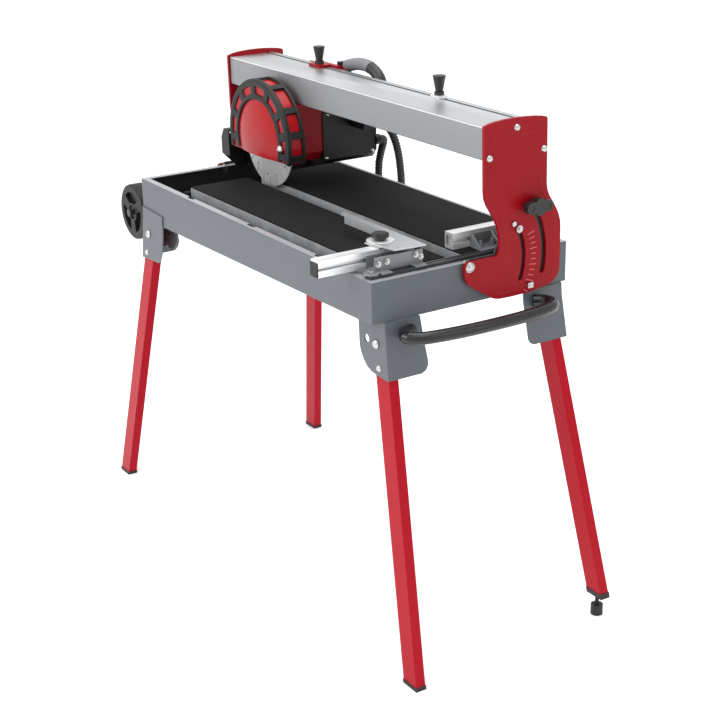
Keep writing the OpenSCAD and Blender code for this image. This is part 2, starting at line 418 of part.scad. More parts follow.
module leg_bracket_far(P=FAR,a=-2.5,b=27.4) difference() {
  union() {
    xz([[0,-62],[-1.6,-91.5],[-18.1,-181.4],[62,-177],[74,-168],[85,-147],[94,-108],[97,-66]],a,a+2.5);
    xz([[-1.8,zb(0)-1.2],[-10.5,-140],[0,-150],[40,-150],[58,-140],[96,-104],[96,zb(96)-1.2]],b,b+2.5);
    xz(concat(arc(66,-113,35,-170,10,14),[[101,zb(101)-0.6],[31,zb(31)-0.6]]),b,b+2.5);
    intersection() { xz([[-2.9,-91],[-0.4,-91],[-17,-182],[-19.5,-182]],-20,90); yz([[a,-90.8],[73,-90.8],[80,-125],[86,-160],[84,-172],[76,-181],[a,-182]],-40,5); }
    xz([[-3,zb(-3)-0.02],[97,zb(97)-0.02],[97,zb(97)-2.5],[-3,zb(0)-2.5]],a+2.5,74);
  }
  cheekhole(P);
  cy(a-2,a+5,5,-166,4.02);
}
module leg_brackets_near() color(GREY) at() { leg_bracket_near(); mir() leg_bracket_near(NEARR,11,43,[[13,-70],[11,-100],[2,-182],[80,-182],[88,-178],[92,-170],[93,-160],[100,-100],[101,-70]]); }
module leg_brackets_far() { color(GREY) at() { leg_bracket_far(); mir() leg_bracket_far(FARR,-14,19); } wheel_brackets(); }
module pivbolt(s,a,b) legpos(s) { cy(a,b,0,0,5); translate([0,a,0]) rotate([90,0,0]) dome(9,5); translate([0,b,0]) rotate([-90,0,0]) cylinder(h=5,r=8,$fn=6); }
module leg_bolt_set(n,f,a,b,c,d,na,fa,fb) {
  pivbolt(n,a,b); pivbolt(f,c,d);
  translate([901,na,-166]) rotate([90,0,0]) dome(6.5,4); cy(na,na+2.4,901,-166,4);
  translate([5,fa,-166]) rotate([90,0,0]) dome(6.5,4); cy(fa,fa+2.4,5,-166,4);
  translate([60,fb,-119]) rotate([90,0,0]) dome(6,1.6);
}
module leg_bolts() color(STEEL) at() { leg_bolt_set(NEAR,FAR,-18.2,15.2,-19.2,15.6,24,-2.5,27.4); mir() leg_bolt_set(NEARR,FARR,-20,17.2,-21.6,17,11,-14,19); }
module carry_handle() color(BLK) at() {
  z=-98; N=[0,0,1];
  sweep(concat(bez([926,78,z],[934,50,z],[958,36,z],[972,64,z],8),bez([972,64,z],[982,92,z],[988,150,z],[988,213,z],8),
    bez([988,213,z],[988,276,z],[984,322,z],[974,348,z],8),bez([974,348,z],[962,376,z],[936,368,z],[926,346,z],8)),N,11.5,20);
}

/* ---- transport wheels ---- */
wx=-71; wz=-92; wy=3;
module wheel(y0) translate([wx,y0,wz]) rotate([-90,0,0]) difference() {
  rotate_extrude() polygon([[6.06,3],[16,3],[16,0],[wheel_r-4,0],[wheel_r-1,2],[wheel_r,6],[wheel_r,wheel_w-6],[wheel_r-1,wheel_w-2],[wheel_r-4,wheel_w],[16,wheel_w],[16,wheel_w-3],[6.06,wheel_w-3]]);
  for(e=[-1,wheel_w-9]) for(i=[0:2]) rotate([0,0,120*i+30]) translate([0,0,e]) linear_extrude(10) polygon(concat(arc(0,0,45,-44,44,12),arc(0,0,21,34,-34,8)));
}
module wheel_left() color(BLK) at() wheel(wy);
module wheel_right() color(BLK) at() wheel(W-wy-wheel_w);
module wheel_axle() color(STEEL) at() { cy(-2,W+2,wx,wz,6); for(y=[[-6,-1],[W+1,W+6]]) cy(y[0],y[1],wx,wz,9); }
module wheel_brackets() color(GREY) at() for(y=[44,W-47]) { difference() { xz([[-0.02,-82],[-0.02,-104],[wx-12,-106],[wx-16,wz],[wx-10,-80.5],[wx+10,-80]],y,y+3); cy(y-1,y+4,wx,wz,6.02); } box([-3.6,y>200?y-16:y,-104],[-0.02,y>200?y+3:y+19,-82]); }

tub_frame();
water_tray();
drain_plug();
table_near();
table_far();
mats();
pump();
quadrants();
tilt_bolts();
fence_right();
fence_right_bracket();
fence_rail();
leg_brackets_near();
leg_brackets_far();
leg_bolts();
carry_handle();
wheel_axle();
end_plates();
plate_bolts();
beam();
tilt_knob_near();
tilt_knob_far();
travel_stop();
stop_knob();
carriage();
glide_pads();
lock_knob();
head_mount();
motor_housing();
motor_stator();
motor_bearings();
guard();
guard_bumper();
head_screws();
splash_shield();
d_handle();
switch_housing();
switch_rocker();
cable_loop();
blade();
blade_clamp();
motor_rotor();
motor_fan();
fence_left();
fence_caps();
fence_carrier();
fence_fittings();
angle_stop();
gauge_knob();
leg_near_left();
leg_near_right();
leg_far_left();
leg_far_right();
foot_near_left();
foot_near_right();
foot_far_left();
foot_far_right();
levelling_foot();
wheel_left();
wheel_right();
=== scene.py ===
import math
import bpy, bmesh, json
import numpy as np
from mathutils import Vector, Matrix


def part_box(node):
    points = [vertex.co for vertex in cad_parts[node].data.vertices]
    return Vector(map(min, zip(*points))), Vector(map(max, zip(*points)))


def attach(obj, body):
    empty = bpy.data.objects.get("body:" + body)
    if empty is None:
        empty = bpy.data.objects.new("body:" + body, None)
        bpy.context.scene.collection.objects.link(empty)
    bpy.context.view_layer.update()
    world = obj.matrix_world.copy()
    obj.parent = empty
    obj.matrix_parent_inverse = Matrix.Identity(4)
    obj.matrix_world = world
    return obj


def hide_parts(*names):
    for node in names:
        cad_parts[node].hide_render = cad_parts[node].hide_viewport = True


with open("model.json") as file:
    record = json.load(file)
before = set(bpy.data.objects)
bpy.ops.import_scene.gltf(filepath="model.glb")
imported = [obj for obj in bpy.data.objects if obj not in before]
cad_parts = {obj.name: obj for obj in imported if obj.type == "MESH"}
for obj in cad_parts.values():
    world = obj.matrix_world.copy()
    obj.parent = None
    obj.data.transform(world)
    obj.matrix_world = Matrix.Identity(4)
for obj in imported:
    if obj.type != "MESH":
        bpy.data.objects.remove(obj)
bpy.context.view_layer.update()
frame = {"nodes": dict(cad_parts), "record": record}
NODES = frame["nodes"]

TUB_LO, TUB_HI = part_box("tub_frame")

def P(x, y, z):
    """Tray coordinates in mm (far near-side rim corner is the origin) to the row frame in metres."""
    return Vector((TUB_LO[0] + x / 1000, TUB_LO[1] + y / 1000, TUB_HI[2] + z / 1000))

# ---------------------------------------------------------------- camera
AZ, EL, ROLL = math.radians(58.01), math.radians(20.8), math.radians(-1.38)
back = Vector((math.sin(AZ) * math.cos(EL), -math.cos(AZ) * math.cos(EL), math.sin(EL)))
right = (-back).cross(Vector((0, 0, 1))).normalized()
up = right.cross(-back)
r2 = math.cos(ROLL) * right + math.sin(ROLL) * up
u2 = -math.sin(ROLL) * right + math.cos(ROLL) * up
cam_data = bpy.data.cameras.new("photo_camera")
cam_data.sensor_width = 36
cam_data.lens = 36 * 1531.2 / 720
cam_data.clip_end = 60
cam = bpy.data.objects.new("photo_camera", cam_data)
bpy.context.scene.collection.objects.link(cam)
m = Matrix.Identity(4)
for i in range(3):
    m[i][0], m[i][1], m[i][2] = r2[i], u2[i], back[i]
cpos = P(3268.6 * 0.92, -1445.4 * 0.92, 871.5 * 0.92)
m[0][3], m[1][3], m[2][3] = cpos
cam.matrix_world = m
bpy.context.scene.camera = cam
bpy.context.scene.view_settings.view_transform = "Standard"

# ---------------------------------------------------------------- materials
MATS = {}
def material(name, base, rough=0.5, metal=0.0, spec=0.5, coat=0.0, coat_rough=0.1, aniso=0.0,
             vary=0.06, vary_scale=6.0, bump=0.0, bump_scale=120.0, stretch=(1, 1, 1), rough_vary=0.0,
             sheen=0.0, dust=None, edge=0.0):
    mat = bpy.data.materials.new(name)
    mat.use_nodes = True
    nt = mat.node_tree
    nt.nodes.clear()
    out = nt.nodes.new("ShaderNodeOutputMaterial")
    b = nt.nodes.new("ShaderNodeBsdfPrincipled")
    nt.links.new(b.outputs[0], out.inputs[0])
    b.inputs["Metallic"].default_value = metal
    b.inputs["Roughness"].default_value = rough
    b.inputs["Specular IOR Level"].default_value = spec
    b.inputs["Coat Weight"].default_value = coat
    b.inputs["Coat Roughness"].default_value = coat_rough
    b.inputs["Anisotropic"].default_value = aniso
    b.inputs["Sheen Weight"].default_value = sheen
    tc = nt.nodes.new("ShaderNodeTexCoord")
    mp = nt.nodes.new("ShaderNodeMapping")
    mp.inputs["Scale"].default_value = stretch
    nt.links.new(tc.outputs["Object"], mp.inputs["Vector"])
    n1 = nt.nodes.new("ShaderNodeTexNoise")
    n1.inputs["Scale"].default_value = vary_scale
    n1.inputs["Detail"].default_value = 5
    nt.links.new(mp.outputs[0], n1.inputs["Vector"])
    ramp = nt.nodes.new("ShaderNodeValToRGB")
    lo = [max(0, c * (1 - vary)) for c in base]
    hi = [min(1, c * (1 + vary)) for c in base]
    ramp.color_ramp.elements[0].position = 0.3
    ramp.color_ramp.elements[1].position = 0.7
    ramp.color_ramp.elements[0].color = (*lo, 1)
    ramp.color_ramp.elements[1].color = (*hi, 1)
    nt.links.new(n1.outputs["Fac"], ramp.inputs["Fac"])
    col = ramp.outputs["Color"]
    if dust:
        geo = nt.nodes.new("ShaderNodeTexNoise")
        geo.inputs["Scale"].default_value = dust[1]
        geo.inputs["Detail"].default_value = 8
        nt.links.new(tc.outputs["Object"], geo.inputs["Vector"])
        mr = nt.nodes.new("ShaderNodeMapRange")
        mr.inputs["From Min"].default_value = 0.5
        mr.inputs["From Max"].default_value = 0.8
        mr.inputs["To Max"].default_value = dust[0]
        nt.links.new(geo.outputs["Fac"], mr.inputs["Value"])
        mix = nt.nodes.new("ShaderNodeMix")
        mix.data_type = "RGBA"
        mix.inputs["B"].default_value = (*dust[2], 1)
        nt.links.new(mr.outputs[0], mix.inputs["Factor"])
        nt.links.new(col, mix.inputs["A"])
        col = mix.outputs["Result"]
    nt.links.new(col, b.inputs["Base Color"])
    if rough_vary:
        mr2 = nt.nodes.new("ShaderNodeMapRange")
        mr2.inputs["To Min"].default_value = max(0.02, rough - rough_vary)
        mr2.inputs["To Max"].default_value = min(1, rough + rough_vary)
        nt.links.new(n1.outputs["Fac"], mr2.inputs["Value"])
        nt.links.new(mr2.outputs[0], b.inputs["Roughness"])
    if bump:
        n2 = nt.nodes.new("ShaderNodeTexNoise")
        n2.inputs["Scale"].default_value = bump_scale
        n2.inputs["Detail"].default_value = 3
        nt.links.new(mp.outputs[0], n2.inputs["Vector"])
        bp = nt.nodes.new("ShaderNodeBump")
        bp.inputs["Strength"].default_value = bump
        bp.inputs["Distance"].default_value = 0.0006
        nt.links.new(n2.outputs["Fac"], bp.inputs["Height"])
        nt.links.new(bp.outputs[0], b.inputs["Normal"])
    MATS[name] = mat
    return mat

material("grey_paint", (0.082, 0.094, 0.106), 0.42, spec=0.34, vary=0.03, vary_scale=3, bump=0.10, bump_scale=900, coat=0.15, coat_rough=0.25)
# painted highlight: lighter grey given to the tray rim's top faces
material("rim_top_painted_highlight", (0.27, 0.29, 0.31), 0.38, spec=0.5, vary=0.05, vary_scale=8, bump=0.08, bump_scale=900, coat=0.2, coat_rough=0.2)
material("liner_black", (0.012, 0.012, 0.0135), 0.5, spec=0.4, vary=0.15, vary_scale=9, bump=0.12, bump_scale=500)
material("table_steel", (0.46, 0.475, 0.49), 0.38, metal=0.45, spec=0.5, vary=0.12, vary_scale=40, bump=0.05, bump_scale=300, rough_vary=0.08)
material("mat_rubber", (0.0045, 0.0045, 0.0048), 0.8, spec=0.16, vary=0.12, vary_scale=15, bump=0.25, bump_scale=1400)
material("black_steel", (0.018, 0.018, 0.02), 0.38, spec=0.5, vary=0.1, bump=0.08, bump_scale=700)
material("zinc", (0.50, 0.50, 0.49), 0.27, metal=1.0, vary=0.08, vary_scale=60, rough_vary=0.08)
material("fence_alu", (0.86, 0.87, 0.88), 0.33, metal=0.7, vary=0.03, vary_scale=30, stretch=(1, 0.04, 1), bump=0.10, bump_scale=900, aniso=0.5)
material("bracket_grey", (0.20, 0.21, 0.22), 0.4, metal=0.35, vary=0.08, vary_scale=20, bump=0.08, bump_scale=500)
material("handle_tube", (0.006, 0.006, 0.007), 0.28, spec=0.4, coat=0.15, coat_rough=0.12, vary=0.1)
material("red_plate", (0.255, 0.0028, 0.0075), 0.34, spec=0.14, coat=0.03, coat_rough=0.2, vary=0.05, vary_scale=5, bump=0.12, bump_scale=1100)
material("red_line", (0.62, 0.10, 0.11), 0.35, spec=0.5, coat=0.3, coat_rough=0.2, vary=0.04)
material("beam_alu", (0.50, 0.515, 0.53), 0.36, metal=0.85, vary=0.035, vary_scale=14, stretch=(0.06, 1, 1), bump=0.12, bump_scale=700, aniso=0.6, rough_vary=0.05)
material("knob_black", (0.010, 0.010, 0.011), 0.42, spec=0.5, vary=0.12, vary_scale=30, bump=0.10, bump_scale=900)
material("glide", (0.7, 0.7, 0.66), 0.5, vary=0.05)
material("motor_black", (0.008, 0.008, 0.009), 0.42, spec=0.28, vary=0.15, vary_scale=12, bump=0.15, bump_scale=900)
material("core_steel", (0.42, 0.41, 0.40), 0.4, metal=1.0, vary=0.08, vary_scale=40)
material("guard_red", (0.335, 0.0030, 0.0065), 0.26, spec=0.16, coat=0.10, coat_rough=0.06, vary=0.05, vary_scale=8)
material("bumper", (0.008, 0.008, 0.009), 0.5, spec=0.32, vary=0.12, vary_scale=30, bump=0.15, bump_scale=700)
material("grip_grey", (0.16, 0.165, 0.175), 0.5, spec=0.4, vary=0.06, vary_scale=30, bump=0.2, bump_scale=600)
material("cable", (0.013, 0.013, 0.014), 0.5, spec=0.45, vary=0.1, vary_scale=30)
material("blade_steel", (0.55, 0.55, 0.545), 0.42, metal=0.55, vary=0.06, vary_scale=20, bump=0.12, bump_scale=400, aniso=0.3, rough_vary=0.06)
material("blade_rim", (0.42, 0.415, 0.39), 0.6, metal=0.5, vary=0.2, vary_scale=200, bump=0.5, bump_scale=1500)
material("stop_alu", (0.50, 0.51, 0.52), 0.38, metal=0.75, vary=0.05, vary_scale=25, bump=0.12, bump_scale=700)
material("leg_red", (0.345, 0.0030, 0.0125), 0.24, spec=0.10, coat=0.0, coat_rough=0.06, vary=0.04, vary_scale=4)
material("foot_black", (0.012, 0.012, 0.012), 0.55, spec=0.4, vary=0.1, bump=0.15, bump_scale=700)
material("wheel_black", (0.009, 0.009, 0.010), 0.5, spec=0.3, vary=0.12, vary_scale=14, bump=0.15, bump_scale=800)
# silver for the scale disc, also used for the painted highlight line along the beam's front edge
material("silver_and_painted_highlight", (0.75, 0.76, 0.77), 0.3, metal=0.6, vary=0.03)

SLOT = {s["node"]: s["material_slot"] for s in frame["record"]["subparts"]}
BODY = {n: b for b, ns in frame["record"]["behaviour"]["bodies"].items() for n in ns}

def use(obj, mat):
    obj.data.materials.clear()
    obj.data.materials.append(MATS[mat])

def bevel(obj, w, seg=3, angle=35):
    mod = obj.modifiers.new("soft_edges", "BEVEL")
    mod.width = w / 1000
    mod.segments = seg
    mod.limit_method = "ANGLE"
    mod.angle_limit = math.radians(angle)
    mod.harden_normals = False
    return obj

def shade(obj, angle=32):
    me = obj.data
    me.set_sharp_from_angle(angle=math.radians(angle)) if hasattr(me, "set_sharp_from_angle") else None
    for p in me.polygons:
        p.use_smooth = True

for n, o in NODES.items():
    use(o, SLOT[n])
    shade(o)

BEVELS = dict(tub_frame=0, water_tray=1.0, table_near=0.8, table_far=0.8, mats=1.2, quadrants=0.8, fence_right=0.5, fence_left=0.5,
    fence_rail=1.2, leg_brackets_near=1.2, leg_brackets_far=1.2, travel_stop=1, carriage=1.5, head_mount=3, motor_housing=3,
    splash_shield=2, switch_housing=3, fence_carrier=0.6, fence_right_bracket=0.6, angle_stop=0.6, leg_near_left=2.5, leg_near_right=2.5,
    leg_far_left=2.5, leg_far_right=2.5, pump=2, switch_rocker=0.8)
for n, w in BEVELS.items():
    if w:
        bevel(NODES[n], w, 2)

# the beam's upright faces are brushed rougher than its top, and their darker colour is painted shade chosen by face
# direction
material("beam_side_painted_shade", (0.27, 0.28, 0.29), 0.5, metal=0.5, vary=0.05, vary_scale=14, stretch=(0.05, 1, 1), bump=0.12, bump_scale=700, aniso=0.5, rough_vary=0.05)
NODES["beam"].data.materials.append(MATS["beam_side_painted_shade"])
for poly in NODES["beam"].data.polygons:
    if abs(poly.normal.y) > 0.7:
        poly.material_index = 1

# painted highlight: lighter grey on the folded rim's top faces, and a lighter red on the leg corner bevels, standing
# in for the light that runs down the corners of the painted legs
NODES["tub_frame"].data.materials.append(MATS["rim_top_painted_highlight"])
for poly in NODES["tub_frame"].data.polygons:
    if poly.normal.z > 0.9 and (NODES["tub_frame"].matrix_world @ poly.center).z > TUB_HI[2] - 0.0035:
        poly.material_index = 1
# painted highlight: lighter red for the leg corner bevels
material("leg_corner_painted_highlight", (0.60, 0.085, 0.10), 0.3, spec=0.3, vary=0.05)
for n in ("leg_near_left", "leg_near_right", "leg_far_left", "leg_far_right"):
    NODES[n].data.materials.append(MATS["leg_corner_painted_highlight"])
    for mod in NODES[n].modifiers:
        if mod.type == "BEVEL":
            mod.material = 1
            mod.width = 0.0014

# ---------------------------------------------------------------- mesh helpers
def add(name, verts, faces, body, mat, smooth=35):
    me = bpy.data.meshes.new(name)
    me.from_pydata([tuple(v) for v in verts], [], faces)
    bm = bmesh.new()
    bm.from_mesh(me)
    bmesh.ops.recalc_face_normals(bm, faces=bm.faces)
    bm.to_mesh(me)
    bm.free()
    o = bpy.data.objects.new(name, me)
    bpy.context.scene.collection.objects.link(o)
    me.materials.append(MATS[mat])
    for p in me.polygons:
        p.use_smooth = True
    if hasattr(me, "set_sharp_from_angle"):
        me.set_sharp_from_angle(angle=math.radians(smooth))
    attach(o, body)
    return o

def axis_point(c, axis, r, a, h):
    """Point at radius r, angle a, height h about an axis ('x','y','z') through tray point c."""
    if axis == "y":
        return P(c[0] + r * math.cos(a), c[1] + h, c[2] + r * math.sin(a))
    if axis == "z":
        return P(c[0] + r * math.cos(a), c[1] + r * math.sin(a), c[2] + h)
    return P(c[0] + h, c[1] + r * math.cos(a), c[2] + r * math.sin(a))

def revolve(name, profile, c, axis, body, mat, n=64, a0=0.0, a1=360.0, smooth=35, wobble=None):
    """Closed (r,h) profile turned about the axis; a part turn is capped."""
    full = abs(a1 - a0 - 360) < 1e-6
    k = n if full else n + 1
    v, f = [], []
    m_ = len(profile)
    for i in range(k):
        a = math.radians(a0 + (a1 - a0) * i / n)
        for r, h in profile:
            rr = r + (wobble(a, r, h) if wobble else 0)
            v.append(axis_point(c, axis, rr, a, h))
    for i in range(n):
        j = (i + 1) % k
        for q in range(m_):
            q2 = (q + 1) % m_
            f.append((i * m_ + q, j * m_ + q, j * m_ + q2, i * m_ + q2))
    if not full:
        f.append(tuple(range(m_)))
        f.append(tuple((k - 1) * m_ + q for q in reversed(range(m_))))
    o = add(name, v, f, body, mat, smooth)
    me = o.data
    bm = bmesh.new()
    bm.from_mesh(me)
    bmesh.ops.remove_doubles(bm, verts=bm.verts, dist=1e-6)
    bmesh.ops.recalc_face_normals(bm, faces=bm.faces)
    bm.to_mesh(me)
    bm.free()
    if hasattr(me, "set_sharp_from_angle"):
        me.set_sharp_from_angle(angle=math.radians(smooth))
    return o

def prism(name, pts, plane, h0, h1, body, mat, bev=0, smooth=35):
    """2D outline extruded: plane 'yz' along X, 'xz' along Y, 'xy' along Z."""
    def q(a, b, h):
        return {"yz": P(h, a, b), "xz": P(a, h, b), "xy": P(a, b, h)}[plane]
    n = len(pts)
    v = [q(a, b, h0) for a, b in pts] + [q(a, b, h1) for a, b in pts]
    f = [tuple(range(n)), tuple(range(2 * n - 1, n - 1, -1))]
    f += [(i, (i + 1) % n, n + (i + 1) % n, n + i) for i in range(n)]
    o = add(name, v, f, body, mat, smooth)
    if bev:
        bevel(o, bev, 3)
    return o

def block(name, a, b, body, mat, bev=0, slot=None):
    return prism(name, [(a[0], a[1]), (b[0], a[1]), (b[0], b[1]), (a[0], b[1])], "xy", a[2], b[2], body, mat, bev)

def smooth_path(pts, n=12):
    """Catmull-Rom through tray points, in mm."""
    p = [np.array(q, float) for q in pts]
    p = [2 * p[0] - p[1]] + p + [2 * p[-1] - p[-2]]
    out = []
    for i in range(1, len(p) - 2):
        for t in np.linspace(0, 1, n, endpoint=False):
            a, b, c, d = p[i - 1], p[i], p[i + 1], p[i + 2]
            out.append(0.5 * ((2 * b) + (c - a) * t + (2 * a - 5 * b + 4 * c - d) * t * t + (3 * b - a - 3 * c + d) * t ** 3))
    out.append(p[-2])
    return out

def tube(name, path, r, body, mat, n=24, smooth=60):
    """Tube along tray points; r is a number or a function of (arc length share, arc length) in mm."""
    p = [np.array(q, float) for q in path]
    s = np.concatenate([[0], np.cumsum([np.linalg.norm(p[i + 1] - p[i]) for i in range(len(p) - 1)])])
    t = [(p[min(i + 1, len(p) - 1)] - p[max(i - 1, 0)]) for i in range(len(p))]
    t = [x / np.linalg.norm(x) for x in t]
    ref = np.array([0.13, 0.31, 0.94])
    nrm = np.cross(t[0], ref)
    nrm /= np.linalg.norm(nrm)
    v, f = [], []
    for i in range(len(p)):
        nrm = nrm - t[i] * (nrm @ t[i])
        nrm /= np.linalg.norm(nrm)
        bn = np.cross(t[i], nrm)
        rr = r(s[i] / s[-1], s[i]) if callable(r) else r
        for j in range(n):
            a = 2 * math.pi * j / n
            v.append(P(*(p[i] + rr * (math.cos(a) * nrm + math.sin(a) * bn))))
    for i in range(len(p) - 1):
        for j in range(n):
            f.append((i * n + j, i * n + (j + 1) % n, (i + 1) * n + (j + 1) % n, (i + 1) * n + j))
    f.append(tuple(range(n)))
    f.append(tuple((len(p) - 1) * n + j for j in reversed(range(n))))
    return add(name, v, f, body, mat, smooth)

# ---------------------------------------------------------------- cable loop (a real cord)
def bez(a, b, c, d, n):
    a, b, c, d = (np.array(q, float) for q in (a, b, c, d))
    return [a * (1 - t) ** 3 + 3 * b * t * (1 - t) ** 2 + 3 * c * t * t * (1 - t) + d * t ** 3 for t in np.linspace(0, 1, n + 1)]

segs = [([288, 431.6, 78], [288, 451, 78], [268, 451, 64], [262, 446, 20], 24), ([262, 446, 20], [254, 445, -60], [268, 446, -118], [306, 446, -118], 28),
        ([306, 446, -118], [342, 446, -118], [352, 446, -60], [348, 446, 0], 28), ([348, 446, 0], [342, 446, 70], [330, 440, 110], [326, 405, 130], 30)]
LOOP = []
for a, b, c, d, n in segs:
    q = bez(a, b, c, d, n)
    LOOP += q if not LOOP else q[1:]
# even spacing along the line, then rings that swell and shrink as a corrugated sleeve does
def resample(pts, step):
    p = [np.array(q, float) for q in pts]
    s = np.concatenate([[0], np.cumsum([np.linalg.norm(p[i + 1] - p[i]) for i in range(len(p) - 1)])])
    k = max(2, int(round(s[-1] / step)))
    out = []
    for d in np.linspace(0, s[-1], k + 1):
        i = min(np.searchsorted(s, d, side="right") - 1, len(p) - 2)
        t = (d - s[i]) / (s[i + 1] - s[i])
        out.append(p[i] * (1 - t) + p[i + 1] * t)
    return out, s[-1]
cord_line, cord_len = resample(LOOP, 1.3)
sleeve = tube("cable_sleeve", cord_line, lambda t, s: 8.0 + 0.75 * math.cos(2 * math.pi * s / 6.2), "saw_head", "cable", n=28, smooth=80)
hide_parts("cable_loop")

# ---------------------------------------------------------------- red end plates: raised line and scale marks
OUT = [(229,239),(242,243),(256,245),(277,246.4),(299,246.6),(320,246),(340,244.4),(356,242.4),(366,240),(368,236),
       (368.5,180),(369,120),(371,108),(376,96),(384,84),(392,71),(398,59),(402,45),(403,30),
       (403,-38),(401.5,-50),(396,-60),(388,-67),(376,-72),(350,-75.5),(321,-77.8),(292,-78.4),(264,-77.4),(252,-74.5),(240,-67),
       (204,-44),(195,-36),(190,-26),(188,-14),(188.6,-5),(191,0.5),(196,3),(256,3),(262,5),(264.6,10),
       (265,33),(263.5,45),(259,59),(253,72),(245,85),(237,98),(232,110),(230,126)]
def offset_poly(pts, d):
    n = len(pts)
    out = []
    area_ = sum(pts[i][0] * pts[(i + 1) % n][1] - pts[(i + 1) % n][0] * pts[i][1] for i in range(n))
    sg = 1 if area_ > 0 else -1
    for i in range(n):
        a, b, c = (np.array(pts[(i + k) % n], float) for k in (-1, 0, 1))
        t1, t2 = (b - a) / np.linalg.norm(b - a), (c - b) / np.linalg.norm(c - b)
        n1, n2 = sg * np.array([-t1[1], t1[0]]), sg * np.array([-t2[1], t2[0]])
        q = n1 + n2
        q = q / np.linalg.norm(q)
        k = min(1.6, 1 / max(0.4, q @ n1))
        out.append(tuple(b + q * d * k))
    return out

# ---------------------------------------------------------------- D-handle: grey moulded grip, black end towards the switch box
HY = (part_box("d_handle")[0][1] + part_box("d_handle")[1][1]) / 2 * 1000 - TUB_LO[1] * 1000
HPATH = bez([274.5, HY, 241], [290, HY, 242], [305, HY, 250], [332, HY, 251], 24)
HPATH += bez([332, HY, 251], [352, HY, 252], [368, HY, 250], [384, HY, 242], 18)[1:]
HPATH += bez([384, HY, 242], [400, HY, 234], [406, HY, 222], [406, HY, 207.5], 24)[1:]
HL, HTOT = resample(HPATH, 1.5)
cut = int(len(HL) * 0.60)
# the grip widens from 11.4 mm at its start to 12.75 mm within the first 5 mm, then stays constant
tube("d_handle_grip", HL[:cut + 1], lambda t, s: 12.75 if s > 5 else 11.4 + 0.27 * s, "saw_head", "grip_grey", n=32)
dk = tube("d_handle_end", HL[cut:], lambda t, s: 12.2 if s > 2 else 12.5, "saw_head", "knob_black", n=32)

for nm in ("d_handle_grip", "d_handle_end"):
    pass
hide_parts("d_handle")

# ---------------------------------------------------------------- protractor disc under the angle knob
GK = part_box("gauge_knob")
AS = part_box("angle_stop")
gx = (GK[0][0] + GK[1][0]) / 2 * 1000 - TUB_LO[0] * 1000
gy = (GK[0][1] + GK[1][1]) / 2 * 1000 - TUB_LO[1] * 1000
gz = AS[1][2] * 1000 - TUB_HI[2] * 1000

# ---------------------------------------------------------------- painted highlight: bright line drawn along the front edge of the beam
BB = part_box("beam")
bx0, bx1 = ((BB[0][0] - TUB_LO[0]) * 1000 + 4, (BB[1][0] - TUB_LO[0]) * 1000 - 4)
by, bz = (BB[0][1] - TUB_LO[1]) * 1000, (BB[1][2] - TUB_HI[2]) * 1000
# painted highlight: a thin light tube along the beam's front top edge
tube("beam_edge_painted_highlight", [[bx0 + (bx1 - bx0) * i / 12, by + 0.9, bz - 0.9] for i in range(13)], 1.35, "bridge", "silver_and_painted_highlight", n=12)

revolve("scale_disc", [(9, 0.05), (24, 0.05), (25, 0.6), (24, 1.0), (9, 1.0)], (gx, gy, gz), "z", "angle_plate", "silver_and_painted_highlight", n=48)

# ---------------------------------------------------------------- stamped line on the red plates
EMB = [(249.3, 210.5), (251.0, 217.7), (255.2, 220.0), (278.9, 221.7), (285.0, 219.4), (290.6, 214.2), (297.6, 211.9), (305.3, 212.3), (311.0, 215.4), (316.4, 218.6), (343.8, 218.8), (349.5, 216.0), (351.5, 211.2), (351.8, 198.7), (345.5, 191.7), (342.6, 184), (344.8, 176.1), (352.2, 168.0), (353.7, 160), (354.5, 114.7), (360.8, 103.0), (382.5, 68.8), (388.1, 45.8), (389.6, -35.6), (385.5, -49.1), (370.4, -59.5), (318.3, -65.6), (270.5, -67.3), (248.4, -60.1), (216.7, -37.2), (209.6, -26.0), (212.7, -14.1), (220.6, -8.8), (270.8, -8.5), (276.9, -5.3), (278.3, 6.2), (276.7, 47.9), (271.8, 64.2), (263.5, 80.0), (248.2, 103.5), (242.2, 124.7), (241.3, 154.9), (244.9, 163.0), (252.7, 168.4), (256.6, 175.6), (255.5, 184.6), (250.4, 193.2)]
def closed_smooth(pts, n=4):
    p = [np.array(q, float) for q in pts]
    out, m_ = [], len(p)
    for i in range(m_):
        a, b, c, d = p[i - 1], p[i], p[(i + 1) % m_], p[(i + 2) % m_]
        for t in np.linspace(0, 1, n, endpoint=False):
            # centripetal-ish damping keeps long straight runs straight
            k = 0.32
            m1, m2 = (c - a) * k, (d - b) * k
            lim = np.linalg.norm(c - b)
            for mm in (m1, m2):
                l_ = np.linalg.norm(mm)
                if l_ > lim * 0.9:
                    mm *= lim * 0.9 / l_
            h = (2*t**3-3*t**2+1, t**3-2*t**2+t, -2*t**3+3*t**2, t**3-t**2)
            out.append(tuple(h[0]*b + h[1]*m1 + h[2]*c + h[3]*m2))
    return out
EMBS = closed_smooth(EMB)
